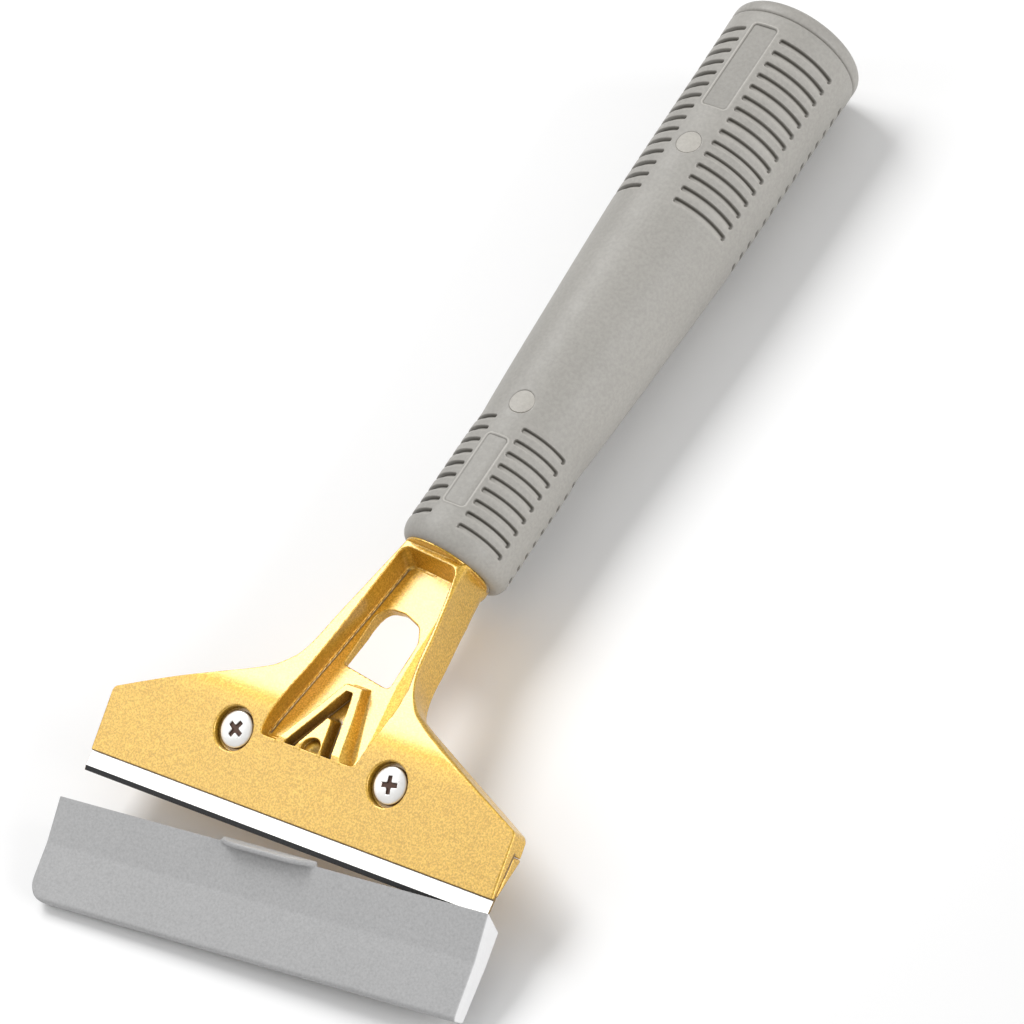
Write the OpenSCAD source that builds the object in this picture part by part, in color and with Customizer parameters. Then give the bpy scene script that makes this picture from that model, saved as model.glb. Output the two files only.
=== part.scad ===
// Hand scraper: die-cast head with a clamped 100 mm blade, a pull-off guard
// and a ribbed round grip. It lies on a table with the screws facing up.
// +Y runs from the blade to the end of the grip, +X along the blade edge.

/* [Head] */
// Width of the head and of the blade along the edge
head_w = 100; // [96:1:104]
// Height of the wings at their outer ends
wing_h = 13; // [12:0.5:15]
// Full thickness of the plate
plate_t = 5; // [4.6:0.1:5.4]
// Angle between the plate and the axis of the grip
head_bend = 24.3; // [22:0.1:26]
// Distance from the end of the grip to the bottom edge of the plate
head_reach = 62; // [60:0.5:64]
// Drop of the plate's bottom edge below the axis of the grip
head_drop = 2.3; // [1.8:0.1:2.8]
// Depth of the pocket in the front of the neck
pocket_depth = 4.95; // [4:0.05:5.2]
// Height of the raised ribs above the pocket's floor
rib_h = 2.4; // [1.5:0.1:2.8]
// Radius of the collar at the grip
collar_r = 9.9; // [9.6:0.1:10]

/* [Blade and clamp] */
// Height of the blade
blade_h = 13.9; // [13.5:0.1:14.2]
// Thickness of the blade
blade_t = 0.45; // [0.4:0.05:0.5]
// Length of blade below the head
blade_out = 4.5; // [3.5:0.1:4.8]
// Tilt of the blade to the front face of the plate
blade_tilt = 8; // [6:0.5:9]
// Distance between the two screws
screw_pitch = 38.2; // [36:0.1:40]
// Height of the screws above the plate's bottom edge
screw_y = 13.2; // [13:0.1:13.6]
// Diameter of a screw's head
screw_head_d = 7.6; // [7:0.1:8]

/* [Guard] */
// Outer length of the guard
guard_l = 103.8; // [103.6:0.1:104.4]
// Height of the guard's front wall
guard_h = 21.3; // [20:0.1:23]
// Turn of the guard from its closed place, as it is left half off
guard_turn = 4.5; // [4:0.1:5]
// Width of the thumb tab
tab_w = 24.5; // [16:0.5:28]

/* [Grip] */
// Length of the grip without its cap
grip_l = 135.2; // [133:0.1:138]
// Length of the end cap that shows
cap_l = 3.5; // [3:0.1:4]
// Depth of the slots
slot_depth = 1.1; // [0.6:0.1:1.3]
// Width of a slot
slot_w = 1.25; // [1:0.05:1.5]
// Distance from slot to slot
slot_pitch = 3.03; // [2.8:0.01:3.05]
// Angle that one slot covers
slot_angle = 56; // [40:1:60]
// Turn of the grip about its own axis
grip_turn = 4.6; // [-10:0.1:10]

/* [Hidden] */
$fn = 72;
e = 0.01;

gold = [0.84, 0.68, 0.28];
steel = [0.86, 0.86, 0.85];
grip_grey = [0.69, 0.675, 0.645];
guard_grey = [0.64, 0.64, 0.645];

// ---- guard section, measured in the plate frame with the guard closed ----
guard_top = 3.0;                      // top of the front wall
guard_back_top = 0;                   // top of the back wall
guard_low = guard_top - guard_h;      // underside
guard_crease = -6.6;
guard_wall = 1.0;
guard_r = 4.6;                        // rounded lower corner on the left
guard_r2 = 0.6;                       // and the crisp one on the right
guard_dx = -0.6;                      // the blade sits a little to the right in it
guard_in_z = 0.4;                     // inner face of the front wall
guard_gap = 2.2;                      // width of the channel at the crease
guard_gap_low = 1.3;                  // and at its bottom
guard_lean = tan(blade_tilt);
pivot = [124, 0];                     // centre the guard turns about

// lowest point of the guard where it is left, in the plate frame
gc = [guard_dx - (guard_l / 2 - guard_r), guard_low + guard_r];
gc_y = (gc[0] - pivot[0]) * sin(guard_turn) + (gc[1] - pivot[1]) * cos(guard_turn) + pivot[1];
low_y = gc_y - guard_r;
low_z = guard_in_z + (guard_crease - guard_low) * guard_lean - guard_gap_low - guard_wall;
// outermost points of the guard across the head, to centre the whole on x = 0
guard_x0 = pivot[0] - (guard_l / 2 - guard_dx + pivot[0]) * cos(guard_turn) - guard_top * sin(guard_turn);
guard_x1 = pivot[0] + (guard_l / 2 + guard_dx - guard_r2 - pivot[0]) * cos(guard_turn)
         - (guard_low + guard_r2) * sin(guard_turn) + guard_r2;
shift_x = -(max(guard_x1, head_w / 2) + min(guard_x0, -head_w / 2)) / 2;

// ---- rest: the guard's lowest corner and the grip's end are at z = 0 ----
low_hy = -head_reach + low_y * cos(head_bend) - low_z * sin(head_bend);
low_hz = -head_drop + low_y * sin(head_bend) + low_z * cos(head_bend);
end_r = 14.72;
end_hy = grip_l - 1 - 2;
rest_pitch = atan((low_hz + end_r) / (end_hy - low_hy));
lift = end_r * cos(rest_pitch) - end_hy * sin(rest_pitch);
// front and back ends of the whole, to centre it on y = 0
far_y = (grip_l - 1 + cap_l) * cos(rest_pitch) + 12.7 * sin(abs(rest_pitch));
bot_z = low_z + guard_gap_low + 2 * guard_wall;
near_y = (-head_reach + low_y * cos(head_bend) - bot_z * sin(head_bend)) * cos(rest_pitch)
       - (-head_drop + low_y * sin(head_bend) + bot_z * cos(head_bend)) * sin(rest_pitch);
shift_y = -(far_y + near_y) / 2;

// grip frame: x across, y along the axis from the grip's lower end, z out of the front
module grip_frame() translate([shift_x, shift_y, lift]) rotate([rest_pitch, 0, 0]) children();
// plate frame: x along the edge, y up the plate, z out of its front face
module plate_frame() grip_frame() translate([0, -head_reach, -head_drop]) rotate([head_bend, 0, 0]) children();
// blade frame: the seat that the blade lies on is z = 0
module blade_frame() translate([0, 0, -0.75]) rotate([-blade_tilt, 0, 0]) children();
// a solid turned about the grip's axis
module turned(points) rotate([-90, 0, 0]) rotate_extrude($fn = 128) polygon(points);
module mirror_x() { children(); mirror([1, 0, 0]) children(); }

// ---- grip profile: radius at a distance along the axis ----
gp = [[2, 11.8], [8, 11.75], [26, 11.72], [30, 11.52], [34, 11.75], [42, 12.2], [60, 13.03],
      [78, 13.83], [87, 14.15], [97, 14.32], [112, 14.42], [130, 14.6], [134, 14.7], [140, 14.72]];
function grip_r(m) = lookup(m, gp);

// outline of the neck's front face: half width at a distance along the axis
neck = [[-1, 7.6], [-3.4, 8.0], [-9.3, 9.05], [-13.7, 9.85], [-18.1, 10.7], [-22.4, 11.5], [-26.5, 12.15],
        [-28.8, 12.65], [-31.5, 13.6], [-34.0, 15.5], [-36.3, 17.9], [-38.5, 21.2], [-41, 26], [-41, 0]];

// raised outline of the rib: half width at the foot and at the top
rib_foot = 7.5;
rib_top = 2.0;

module wing_outline() {
    c = 0.6;
    polygon([[-head_w / 2 + c, 0], [head_w / 2 - c, 0], [head_w / 2, c], [head_w / 2, wing_h - 0.6],
             [head_w / 2 - 0.6, wing_h], [21.2, 25.2], [17.8, 27], [-17.8, 27], [-21.2, 25.2],
             [-head_w / 2 + 0.6, wing_h], [-head_w / 2, wing_h - 0.6], [-head_w / 2, c]]);
}

module neck_solid() {
    intersection() {
        // outline seen from the front
        translate([0, 0, -10]) linear_extrude(30)
            polygon(concat([for (p = neck) [p[1], p[0]]], [for (i = [len(neck) - 1:-1:0]) [-neck[i][1], neck[i][0]]]));
        // side profile
        rotate([90, 0, 90]) translate([0, 0, -60]) linear_extrude(120)
            polygon([[-1, 6.45], [-1, -8.3], [-4, -7.0], [-10, -5.4], [-15, -4.7], [-20, -4.2], [-25, -3.6],
                     [-30, -2.6], [-36, -0.6], [-38, 0.4], [-42.5, 2.4], [-41.5, 6.45]]);
        // rounded back
        union() {
            translate([-60, -60, -1.4]) cube([120, 60, 30]);
            turned([[0, -60], [22, -60], [19, -38], [14.9, -30], [12.6, -24], [10.9, -17], [9.2, -8], [8.6, -1], [8.6, 0], [0, 0]]);
        }
    }
    // web under the lower part of the pocket
    rotate([90, 0, 90]) translate([0, 0, -13.8]) linear_extrude(27.6)
        polygon([[-35.5, -0.6], [-42.5, 0.2], [-44.4, 0.25], [-43.5, 2.6], [-35.5, 2.6]]);
}

module pocket_outline() {
    // in the grip frame, seen along the normal of the neck
    polygon([[-12.8, -48.0], [-12.3, -48.9], [-11.4, -49.2], [11.4, -49.2], [12.3, -48.9], [12.8, -48.0],
             [6.85, -4.6], [6.3, -3.5], [5.2, -2.9], [-5.2, -2.9], [-6.3, -3.5], [-6.85, -4.6]]);
}

module window_outline() {
    // in the grip frame, seen along the normal of the neck
    polygon([[-6.8, -28.6], [5.4, -30.6], [5.9, -30.0], [5.9, -19.2], [5.4, -17.0], [3.9, -15.0], [1.6, -13.9],
             [-1.4, -13.3], [-4.6, -13.4], [-6.4, -14.1], [-7.3, -15.6], [-7.4, -28.0]]);
}

module head_casting() {
    color(gold) {
        difference() {
            union() {
                plate_frame() difference() {
                    translate([0, 0, -plate_t]) linear_extrude(plate_t) wing_outline();
                    // front face falls back where the neck starts
                    translate([-60, 21.4, 0]) rotate([-head_bend, 0, 0]) translate([0, -2, 0]) cube([120, 40, 12]);
                    translate([-60, 19.6, 0]) rotate([-head_bend / 2, 0, 0]) translate([0, -2, 0]) cube([120, 10, 12]);
                    // sloping edges of the wings lean in towards the back
                    mirror_x() translate([head_w / 2, wing_h, 0]) rotate([0, 0, atan2(25.2 - wing_h, 21.2 - head_w / 2)])
                        rotate([18.4, 0, 0]) translate([-6, -20, -12]) cube([60, 20, 24]);
                }
                grip_frame() neck_solid();
                grip_frame() turned([[0, -1.85], [collar_r - 0.25, -1.85], [collar_r, -1.6], [collar_r, -1], [0, -1]]);
                // tang inside the grip
                grip_frame() turned([[0, -2], [5.5, -2], [5.5, 41.5], [5, 42], [0, 42]]);
            }
            // pocket down to its floor
            grip_frame() translate([0, 0, 6.45 - pocket_depth]) linear_extrude(60) pocket_outline();
            // window through the floor
            grip_frame() translate([0, 0, -20]) linear_extrude(30) window_outline();
            // relief in the back of the neck
            grip_frame() translate([0, 0, -20]) linear_extrude(20 + 6.45 - pocket_depth - 1.3)
                polygon([[-11.2, -32], [11.2, -32], [10.2, -25], [8.5, -14.5], [6.5, -11], [4.5, -9.8],
                         [-4.5, -9.8], [-6.5, -11], [-8.5, -14.5], [-10.2, -25]]);
            plate_frame() {
                // seat for the blade and space for the clamp plate
                blade_frame() translate([-60, -20, -blade_t - 0.02]) cube([120, 20 + blade_h - blade_out, blade_t + 0.02]);
                blade_frame() translate([-60, -20, -12]) cube([120, 20 + 8.98, 12]);
                // pockets for the lugs of the clamp plate
                for (s = [-1, 1]) translate([s * screw_pitch / 2, 0, 0]) {
                    translate([0, screw_y, -20]) cylinder(r = 7.0, h = 20 - 2.85);
                    translate([-7.0, 5, -20]) cube([14.0, screw_y - 5, 20 - 2.85]);
                    // screw hole and counterbore
                    translate([0, screw_y, -10]) cylinder(d = 4.4, h = 20);
                    translate([0, screw_y, -1.8]) cylinder(d = 9, h = 10);
                    translate([0, screw_y, -0.3]) cylinder(d1 = 9, d2 = 9.6, h = 0.3 + e);
                }
            }
            // hole for the tang pin
            grip_frame() translate([0, 20, 0]) rotate([0, 90, 0]) cylinder(d = 3.0, h = 40, center = true);
        }
        ribs();
    }
}

// raised rib in the lower part of the pocket, with a boss inside it
module rib_outline() {
    difference() {
        polygon([[-rib_foot - 0.4, 12.8], [rib_foot + 0.4, 12.8], [rib_top, 28.2], [rib_top - 0.7, 28.7], [-rib_top + 0.7, 28.7], [-rib_top, 28.2]]);
        polygon([[-5.6, 12.7], [5.6, 12.7], [0.55, 26.7], [-0.55, 26.7]]);
    }
    difference() {
        polygon([[-3.7, 12.8], [3.7, 12.8], [0.4, 21.1], [-0.4, 21.1]]);
        translate([0, 14.6]) circle(r = 1.7, $fn = 32);
    }
    translate([-1.9, 12.8]) square([3.8, 0.9]);
}
module ribs() {
    intersection() {
        plate_frame() translate([0, 0, -14]) linear_extrude(14) rib_outline();
        grip_frame() translate([-30, -80, 6.45 - pocket_depth - 0.3]) cube([60, 120, rib_h + 0.3]);
    }
    // low round boss in the foot of the ribs
    intersection() {
        plate_frame() translate([0, 14.6, -14]) cylinder(r = 1.8, h = 14, $fn = 32);
        grip_frame() translate([-30, -80, 6.45 - pocket_depth - 0.3]) cube([60, 120, 0.5 * rib_h + 0.3]);
    }
}

module clamp_plate() {
    color(gold) plate_frame() difference() {
        union() {
            // wedge along the back of the blade
            intersection() {
                rotate([90, 0, 90]) translate([0, 0, -head_w / 2]) linear_extrude(head_w)
                    polygon([[0.2, 0], [8.4, 0], [8.4, -4.9], [8.1, -5.2], [0.2, -1.62]]);
                blade_frame() translate([-60, -20, -20 - blade_t]) cube([120, 60, 20]);
            }
            for (s = [-1, 1]) translate([s * screw_pitch / 2, 0, 0]) {
                translate([0, screw_y, -5.2]) cylinder(r = 6.7, h = 2.2);
                translate([-6.7, 7.6, -5.2]) cube([13.4, screw_y - 7.6, 2.2]);
            }
        }
        for (s = [-1, 1]) translate([s * screw_pitch / 2, screw_y, -10]) cylinder(d = 4.1, h = 20);
    }
}

module blade() {
    color(steel) plate_frame() blade_frame() difference() {
        rotate([90, 0, 90]) translate([0, 0, -head_w / 2]) linear_extrude(head_w)
            polygon([[-blade_out, -0.36], [-blade_out + 1.0, 0], [blade_h - blade_out, 0],
                     [blade_h - blade_out, -blade_t], [-blade_out + 0.3, -blade_t]]);
        for (s = [-1, 1]) {
            translate([s * 25, blade_h / 2 - blade_out, -2]) cylinder(d = 3.6, h = 4);
            translate([s * head_w / 2, blade_h / 2 - blade_out, -2]) cylinder(d = 3.6, h = 4);
        }
    }
}

module clamp_screw() {
    difference() {
        union() {
            rotate_extrude($fn = 72) polygon([[0, -6.1], [1.6, -6.1], [2, -5.7], [2, -1.8], [screw_head_d / 2 - 0.05, -1.8],
                [screw_head_d / 2, -1.75], [screw_head_d / 2, -1.05], [screw_head_d / 2 - 0.35, -0.72],
                [screw_head_d / 2 - 1.2, -0.55], [0, -0.5]]);
        }
        // cross recess
        for (a = [0, 90]) rotate([0, 0, a]) translate([-2.1, -0.45, -1.45]) cube([4.2, 0.9, 2]);
        translate([0, 0, -1.6]) cylinder(r = 0.95, h = 2, $fn = 24);
    }
}
module clamp_screw_left() color(steel) plate_frame() translate([-screw_pitch / 2, screw_y, 0]) rotate([0, 0, 62]) clamp_screw();
module clamp_screw_right() color(steel) plate_frame() translate([screw_pitch / 2, screw_y, 0]) rotate([0, 0, 12]) clamp_screw();

// outline of the guard seen from the front, with its two lower corners
module guard_face(l, low, r, r2) {
    polygon(concat([[l / 2, guard_top + 2], [-l / 2, guard_top + 2]],
        [for (i = [0:8]) [-l / 2 + r - r * cos(i * 90 / 8), low + r - r * sin(i * 90 / 8)]],
        [for (i = [0:4]) [l / 2 - r2 + r2 * sin(i * 90 / 4), low + r2 - r2 * cos(i * 90 / 4)]]));
}
// section across the guard: front line, then back line; depth at the crease and at the bottom
module guard_section(front, depth, depth_low, low, top_f, top_b) {
    bend = front + (guard_crease - guard_low) * guard_lean;
    polygon([[top_f, front], [guard_crease, front], [low, bend], [low, bend - depth_low], [guard_crease, front - depth],
             [guard_back_top, front - depth - 0.9], [top_b, front - depth - 0.9 - (top_b - guard_back_top) * 0.14]]);
}
module thumb_tab() {
    // flat tab at the top edge of the front wall, its free edge a little lower
    translate([-0.8, guard_top + 0.75, guard_in_z + guard_wall - 0.35]) rotate([90 + 14, 0, 0])
        linear_extrude(1.1) intersection() {
            translate([-tab_w / 2, 0]) square([tab_w, 3.1]);
            translate([0, -3.2]) union() {
                for (s = [-1, 1]) translate([s * (tab_w / 2 - 6.3), 0]) circle(r = 6.3, $fn = 64);
                translate([-tab_w / 2 + 6.3, -6.3]) square([tab_w - 12.6, 12.6]);
            }
        }
}
module blade_guard() {
    color(guard_grey) plate_frame() translate([pivot[0], pivot[1], 0]) rotate([0, 0, guard_turn]) translate([-pivot[0], -pivot[1], 0])
    union() {
        translate([guard_dx, 0, 0]) difference() {
            intersection() {
                rotate([90, 0, 90]) translate([0, 0, -guard_l / 2]) linear_extrude(guard_l)
                    guard_section(guard_in_z + guard_wall, guard_gap + 2 * guard_wall, guard_gap_low + 2 * guard_wall,
                                  guard_low, guard_top, guard_back_top + 0.02);
                translate([0, 0, -20]) linear_extrude(40) guard_face(guard_l, guard_low, guard_r, guard_r2);
            }
            // channel for the blade
            intersection() {
                rotate([90, 0, 90]) translate([0, 0, -guard_l / 2 + guard_wall]) linear_extrude(guard_l - 2 * guard_wall)
                    guard_section(guard_in_z, guard_gap, guard_gap_low, guard_low, guard_top + 1, guard_back_top + 4);
                translate([0, 0, -20]) linear_extrude(40) guard_face(guard_l - 2 * guard_wall, guard_low + guard_wall, guard_r - guard_wall, 0.3);
            }
        }
        thumb_tab();
    }
}

module handle_core() {
    color([0.35, 0.35, 0.36]) grip_frame() difference() {
        union() {
            turned([[5.53, -1], [9.2, -1], [9.2, grip_l - 1], [6.6, grip_l - 1], [6.6, 46], [5.53, 44]]);
            // bosses that show as round marks on the grip
            intersection() {
                rotate([0, grip_turn, 0]) for (m = [33, 99.3]) translate([0, m, 8]) cylinder(r = 2.6, h = 10, $fn = 48);
                turned([[7, 20], [grip_r(33), 20], [grip_r(33), 50], [grip_r(99.3), 90], [grip_r(99.3), 110], [7, 110]]);
            }
        }
        translate([0, 20, 0]) rotate([0, 90, 0]) cylinder(d = 3.0, h = 40, center = true);
    }
}

module grip_slots() {
    for (az = [45, 135, 225, 315]) {
        // the set at the front left lies a little further up
        d = az == 315 ? 0.35 : 0;
        for (i = [0:8]) slot(3.25 + 2 * d + i * slot_pitch, az);
        for (i = [0:14]) slot(86.3 + d + i * slot_pitch, az);
    }
}
module slot(m, az) rotate([-90, 0, 0]) rotate([0, 0, az - 90 - slot_angle / 2])
    rotate_extrude(angle = slot_angle, $fn = 128)
        translate([grip_r(m) - slot_depth, m - slot_w / 2]) square([slot_depth + 3, slot_w]);

module handle_grip() {
    color(grip_grey) grip_frame() rotate([0, grip_turn, 0]) difference() {
        turned(concat([[9.2, -1]], [for (a = [0:15:90]) [9.2 + 2.6 * sin(a), 3.0 - 4.0 * cos(a)]],
            [for (p = gp) if (p[0] > 4 && p[0] < grip_l - 2) [p[1], p[0]]],
            [[grip_r(grip_l - 1.5), grip_l - 1.5], [grip_r(grip_l) - 0.5, grip_l - 1], [9.2, grip_l - 1]]));
        grip_slots();
        // openings for the two bosses of the core
        for (m = [33, 99.3]) translate([0, m, 8.5]) cylinder(r = 2.6, h = 10, $fn = 48);
        // sunk label field and its raised rim stay plain
        label_field(109, 130.8, 5.8, grip_r(120) - 0.35);
        label_field(7, 24.2, 4.9, grip_r(15) - 0.18);
    }
}
module label_field(m0, m1, w, floor_z) {
    r = 0.8;
    translate([0, 0, floor_z]) linear_extrude(4) {
        translate([-w / 2 + r, m0]) square([w - 2 * r, m1 - m0]);
        translate([-w / 2, m0 + r]) square([w, m1 - m0 - 2 * r]);
        for (x = [-w / 2 + r, w / 2 - r], y = [m0 + r, m1 - r]) translate([x, y]) circle(r = r, $fn = 32);
    }
}

module end_cap() {
    m0 = grip_l - 1;
    color(grip_grey) grip_frame()
        turned(concat([[0, m0 - 8], [6.2, m0 - 8], [6.55, m0 - 7.4], [6.55, m0], [end_r - 0.5, m0], [end_r, m0 + 0.5]],
            [for (a = [0:15:90]) [end_r - 2 + 2 * cos(a), m0 + cap_l - 2 + 2 * sin(a)]], [[0, m0 + cap_l]]));
}

module tang_pin() color(steel) grip_frame() translate([0, 20, 0]) rotate([0, 90, 0]) cylinder(d = 2.96, h = 18.2, center = true);

head_casting();
clamp_plate();
blade();
clamp_screw_left();
clamp_screw_right();
blade_guard();
handle_core();
handle_grip();
end_cap();
tang_pin();
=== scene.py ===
import bpy
import math
import numpy as np
from mathutils import Matrix, Vector


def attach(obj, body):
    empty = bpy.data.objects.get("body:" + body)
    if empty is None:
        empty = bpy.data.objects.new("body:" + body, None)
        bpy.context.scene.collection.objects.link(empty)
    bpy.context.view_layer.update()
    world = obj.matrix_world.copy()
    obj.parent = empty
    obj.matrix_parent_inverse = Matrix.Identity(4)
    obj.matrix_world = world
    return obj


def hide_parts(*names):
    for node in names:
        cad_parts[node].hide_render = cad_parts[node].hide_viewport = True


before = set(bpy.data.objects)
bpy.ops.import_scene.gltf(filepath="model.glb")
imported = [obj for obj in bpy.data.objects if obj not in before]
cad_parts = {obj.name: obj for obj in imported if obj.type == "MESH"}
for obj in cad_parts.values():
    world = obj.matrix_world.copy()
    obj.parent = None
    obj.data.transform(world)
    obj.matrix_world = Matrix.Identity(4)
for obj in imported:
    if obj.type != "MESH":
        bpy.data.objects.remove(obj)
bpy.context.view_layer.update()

# ---------------------------------------------------------------- frames (mm)
BEND, REACH, DROP, TILT = math.radians(24.3), 62.0, 2.3, math.radians(8.0)
GL, GH, GTURN, GTOP, GCREASE = 103.8, 21.3, math.radians(4.5), 3.0, -6.6
GWALL, GR, GINZ, GGAP, GGAP_LOW, PIVOT = 1.0, 4.6, 0.4, 2.2, 1.3, 124.0
GR2, GDX = 0.6, -0.6
GRIP_L, CAP_L, END_R = 135.2, 3.5, 14.72
GRIP_TURN = math.radians(4.6)
GLOW = GTOP - GH
LEAN = math.tan(TILT)


def rest():
    gx, gy = GDX - (GL / 2 - GR), GLOW + GR
    low_y = (gx - PIVOT) * math.sin(GTURN) + gy * math.cos(GTURN) - GR
    low_z = GINZ + (GCREASE - GLOW) * LEAN - GGAP_LOW - GWALL
    x0 = PIVOT - (GL / 2 - GDX + PIVOT) * math.cos(GTURN) - GTOP * math.sin(GTURN)
    x1 = PIVOT + (GL / 2 + GDX - GR2 - PIVOT) * math.cos(GTURN) - (GLOW + GR2) * math.sin(GTURN) + GR2
    sx = -(max(x1, 50.0) + min(x0, -50.0)) / 2
    c, s = math.cos(BEND), math.sin(BEND)
    hy, hz = -REACH + low_y * c - low_z * s, -DROP + low_y * s + low_z * c
    ey = GRIP_L - 3
    p = math.atan((hz + END_R) / (ey - hy))
    lift = END_R * math.cos(p) - ey * math.sin(p)
    far = (GRIP_L - 1 + CAP_L) * math.cos(p) + 12.7 * math.sin(abs(p))
    bz = low_z + GGAP_LOW + 2 * GWALL
    near = (-REACH + low_y * c - bz * s) * math.cos(p) - (-DROP + low_y * s + bz * c) * math.sin(p)
    return p, np.array([sx, -(far + near) / 2, lift])


PITCH, SHIFT = rest()


def rx(a):
    return np.array([[1, 0, 0], [0, math.cos(a), -math.sin(a)], [0, math.sin(a), math.cos(a)]])


R_H, R_P = rx(PITCH), rx(PITCH) @ rx(BEND)
O_H = SHIFT
O_P = SHIFT + R_H @ np.array([0, -REACH, -DROP])
PC, PS = math.cos(BEND), math.sin(BEND)
GC, GS = math.cos(GTURN), math.sin(GTURN)


def h_to_w(v):
    return v @ R_H.T + O_H


def p_to_w(v):
    return v @ R_P.T + O_P


def g_to_w(v):
    # the guard's own closed place, turned about its pivot, then as the plate
    x, y = v[:, 0] - PIVOT, v[:, 1]
    return p_to_w(np.stack([x * GC - y * GS + PIVOT, x * GS + y * GC, v[:, 2]], 1))


# ---------------------------------------------------------------- distance fields
def rmax(a, b, r):
    return np.minimum(np.maximum(a, b), -r) + np.hypot(np.maximum(a + r, 0), np.maximum(b + r, 0))


def rmin(a, b, r):
    return -rmax(-a, -b, r)


def cut(a, b, r):
    return rmax(a, -b, r)


def sd_poly(px, py, pts):
    d = inside = None
    n = len(pts)
    for i in range(n):
        (ax, ay), (bx, by) = pts[i], pts[(i + 1) % n]
        ex, ey = bx - ax, by - ay
        if ex * ex + ey * ey < 1e-12:
            continue
        wx, wy = px - ax, py - ay
        t = np.clip((wx * ex + wy * ey) / (ex * ex + ey * ey), 0, 1)
        q = (wx - ex * t) ** 2 + (wy - ey * t) ** 2
        side = ex * wy - ey * wx
        c = ((ay <= py) & (by > py) & (side > 0)) | ((ay > py) & (by <= py) & (side < 0))
        d = q if d is None else np.minimum(d, q)
        inside = c if inside is None else inside ^ c
    return np.where(inside, -1.0, 1.0) * np.sqrt(d)


def rounded(pts, radii, steps=6):
    """A polygon with its corners turned into arcs."""
    n, out = len(pts), []
    for i in range(n):
        p, a, b = (np.array(pts[k % n], float) for k in (i, i - 1, i + 1))
        r = radii[i] if hasattr(radii, "__len__") else radii
        u, v = (a - p) / np.linalg.norm(a - p), (b - p) / np.linalg.norm(b - p)
        cos = float(np.clip(u @ v, -1, 1))
        half = math.acos(cos) / 2
        if r <= 0 or half > math.pi / 2 - 0.01:
            out.append(tuple(p))
            continue
        t = min(r / math.tan(half), 0.49 * np.linalg.norm(a - p), 0.49 * np.linalg.norm(b - p))
        r = t * math.tan(half)
        c = p + (u + v) / np.linalg.norm(u + v) * (r / math.sin(half))
        s, e = p + u * t - c, p + v * t - c
        a0, a1 = math.atan2(s[1], s[0]), math.atan2(e[1], e[0])
        da = (a1 - a0 + math.pi) % (2 * math.pi) - math.pi
        out += [tuple(c + r * np.array([math.cos(a0 + da * k / steps), math.sin(a0 + da * k / steps)])) for k in range(steps + 1)]
    return out


class Shape:
    """A polygon's signed distance, looked up from a fine table."""

    def __init__(self, pts, step=0.15, pad=5.0):
        pts = np.asarray(pts, float)
        self.lo, self.step = pts.min(0) - pad, step
        n = np.ceil((pts.max(0) + pad - self.lo) / step).astype(int) + 1
        gx, gy = (self.lo[k] + np.arange(n[k]) * step for k in (0, 1))
        self.n, self.f = n, sd_poly(gx[:, None], gy[None, :], pts)

    def __call__(self, px, py):
        u = np.clip((px - self.lo[0]) / self.step, 0, self.n[0] - 1.001)
        v = np.clip((py - self.lo[1]) / self.step, 0, self.n[1] - 1.001)
        i, j = u.astype(np.int32), v.astype(np.int32)
        a, b, f = u - i, v - j, self.f
        return (f[i, j] * (1 - a) + f[i + 1, j] * a) * (1 - b) + (f[i, j + 1] * (1 - a) + f[i + 1, j + 1] * a) * b


def grade(*spans):
    """Grid positions from (start, end, step) spans that follow each other."""
    out = [spans[0][0]]
    for a, b, s in spans:
        k = max(1, int(round((b - a) / s)))
        out += [a + (b - a) * (i + 1) / k for i in range(k)]
    return np.array(out)


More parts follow.
